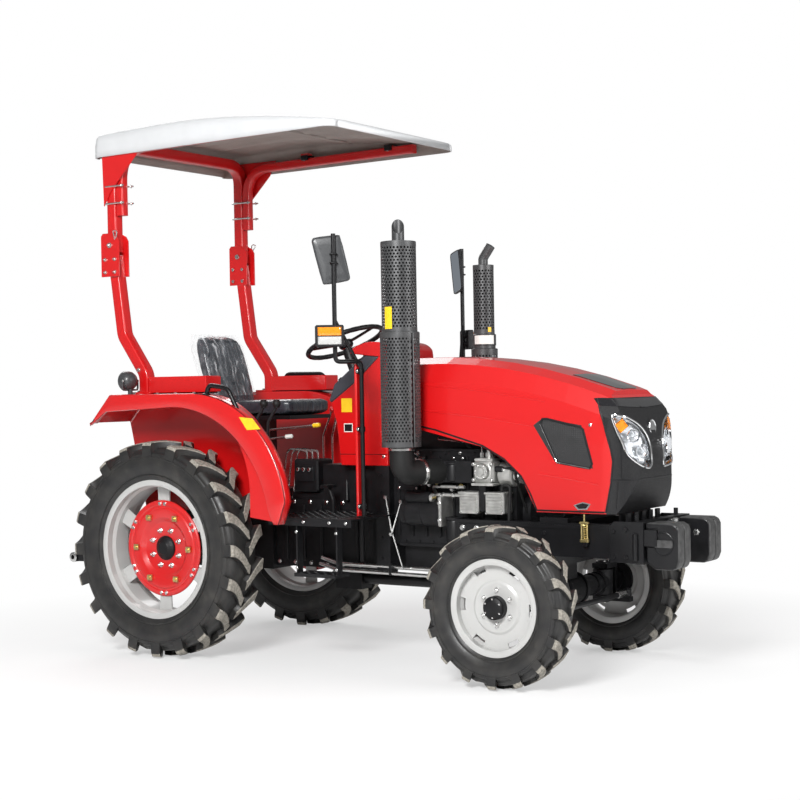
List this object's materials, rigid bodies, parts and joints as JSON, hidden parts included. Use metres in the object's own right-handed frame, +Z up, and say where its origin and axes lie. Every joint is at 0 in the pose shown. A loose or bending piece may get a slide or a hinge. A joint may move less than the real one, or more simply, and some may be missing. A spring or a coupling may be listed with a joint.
{
  "type": "farm tractor",
  "caption": "Compact four-wheel-drive farm tractor with a hinged hood, folding roll bar with canopy, front weights and a rear three-point hitch.",
  "frame": {"origin": "on the ground, at the middle of the tractor's length and width", "axes": "+X forward, +Y to the tractor's left, +Z up"},
  "size_m": [3.4849, 1.396, 2.6533],
  "materials": {
    "red_paint": "gloss red paint",
    "black_paint": "satin black paint",
    "white_paint": "white paint",
    "tyre_rubber": "black rubber",
    "bare_alloy": "cast alloy",
    "black_iron": "black painted casting",
    "seat_vinyl": "black vinyl",
    "black_plastic": "black plastic",
    "amber_plastic": "lamp plastic",
    "lamp_glass": "clear lamp lens"
  },
  "bodies": {
    "chassis": {"front_axle": "black_iron", "steering_column": "black_paint", "transmission": "black_iron", "rear_axle": "black_iron", "hitch_frame": "black_iron", "engine_block": "black_iron", "engine_pumps": "bare_alloy", "drive_shaft": "black_paint", "front_frame": "black_paint", "front_weights": "black_iron", "radiator": "bare_alloy", "exhaust_stack": "black_paint", "intake_stack": "black_paint", "cowl": "red_paint", "dash": "black_plastic", "footplates": "black_paint", "fender_left": "red_paint", "fender_right": "red_paint", "handrails": "black_paint", "rops_posts": "red_paint", "seat_base": "black_paint", "seat_cushion": "seat_vinyl", "seat_back": "seat_vinyl", "mirror_arms": "black_paint", "mirrors": "black_plastic", "lamps": "amber_plastic", "controls": "black_paint"},
    "hood": {"hood_shell": "red_paint", "front_mask": "black_plastic", "headlamps": "lamp_glass", "hood_mesh": "black_paint"},
    "steering_wheel": {"steering_wheel": "black_plastic"},
    "knuckle_left": {"knuckle_left": "black_iron"},
    "knuckle_right": {"knuckle_right": "black_iron"},
    "tie_rod": {"tie_rod": "black_paint"},
    "front_wheel_left": {"front_tyre_left": "tyre_rubber", "front_rim_left": "white_paint", "front_hub_left": "black_paint"},
    "front_wheel_right": {"front_tyre_right": "tyre_rubber", "front_rim_right": "white_paint", "front_hub_right": "black_paint"},
    "rear_wheel_left": {"rear_tyre_left": "tyre_rubber", "rear_rim_left": "white_paint", "rear_disc_left": "red_paint", "rear_hub_left": "black_paint"},
    "rear_wheel_right": {"rear_tyre_right": "tyre_rubber", "rear_rim_right": "white_paint", "rear_disc_right": "red_paint", "rear_hub_right": "black_paint"},
    "roll_bar": {"rops_hoop": "red_paint", "canopy": "white_paint"},
    "lower_links": {"lower_links": "black_paint"},
    "lift_arms": {"lift_arms": "black_paint"},
    "lift_rods": {"lift_rods": "black_paint"}
  },
  "joints": [
    {"name": "rear_wheel_left_spin", "type": "hinge", "parent": "chassis", "child": "rear_wheel_left", "pos_m": [-0.8565, 0.58, 0.535], "axis": [0, 1, 0], "continuous": true},
    {"name": "rear_wheel_right_spin", "type": "hinge", "parent": "chassis", "child": "rear_wheel_right", "pos_m": [-0.8565, -0.58, 0.535], "axis": [0, 1, 0], "continuous": true},
    {"name": "steer_left", "type": "hinge", "parent": "chassis", "child": "knuckle_left", "pos_m": [1.0435, 0.43, 0.355], "axis": [0, 0, 1], "range_deg": [-38, 38]},
    {"name": "steer_right", "type": "hinge", "parent": "chassis", "child": "knuckle_right", "pos_m": [1.0435, -0.43, 0.355], "axis": [0, 0, 1], "range_deg": [-38, 38]},
    {"name": "tie_rod_swing", "type": "hinge", "parent": "knuckle_left", "child": "tie_rod", "pos_m": [1.1735, 0.43, 0.307], "axis": [0, 0, 1], "range_deg": [-38, 38]},
    {"name": "steering_wheel_turn", "type": "hinge", "parent": "chassis", "child": "steering_wheel", "pos_m": [-0.1615, 0, 1.542], "axis": [-0.3746, 0, 0.9272], "range_deg": [-456, 456]},
    {"name": "front_wheel_left_spin", "type": "hinge", "parent": "knuckle_left", "child": "front_wheel_left", "pos_m": [1.0435, 0.555, 0.355], "axis": [0, 1, 0], "continuous": true},
    {"name": "front_wheel_right_spin", "type": "hinge", "parent": "knuckle_right", "child": "front_wheel_right", "pos_m": [1.0435, -0.555, 0.355], "axis": [0, 1, 0], "continuous": true},
    {"name": "hood_open", "type": "hinge", "parent": "chassis", "child": "hood", "pos_m": [0.2555, 0, 1.44], "axis": [0, -1, 0], "range_deg": [0, 50]},
    {"name": "roll_bar_fold", "type": "hinge", "parent": "chassis", "child": "roll_bar", "pos_m": [-1.2415, 0, 2.062], "axis": [0, -1, 0], "range_deg": [0, 100]},
    {"name": "hitch_lift", "type": "hinge", "parent": "chassis", "child": "lower_links", "pos_m": [-0.9165, 0, 0.43], "axis": [0, 1, 0], "range_deg": [-14, 30]},
    {"name": "lift_arm_turn", "type": "hinge", "parent": "chassis", "child": "lift_arms", "pos_m": [-0.9665, 0, 0.862], "axis": [0, 1, 0], "range_deg": [-14, 30]},
    {"name": "lift_rod_swing", "type": "hinge", "parent": "lift_arms", "child": "lift_rods", "pos_m": [-1.2665, 0, 0.862], "axis": [0, 1, 0], "range_deg": [-30, 14]}
  ],
  "couplings": [
    {"joint": "steer_right", "follows": "steer_left", "ratio": 1},
    {"joint": "tie_rod_swing", "follows": "steer_left", "ratio": -1},
    {"joint": "steering_wheel_turn", "follows": "steer_left", "ratio": 12},
    {"joint": "lift_arm_turn", "follows": "hitch_lift", "ratio": 1},
    {"joint": "lift_rod_swing", "follows": "hitch_lift", "ratio": -1}
  ]
}
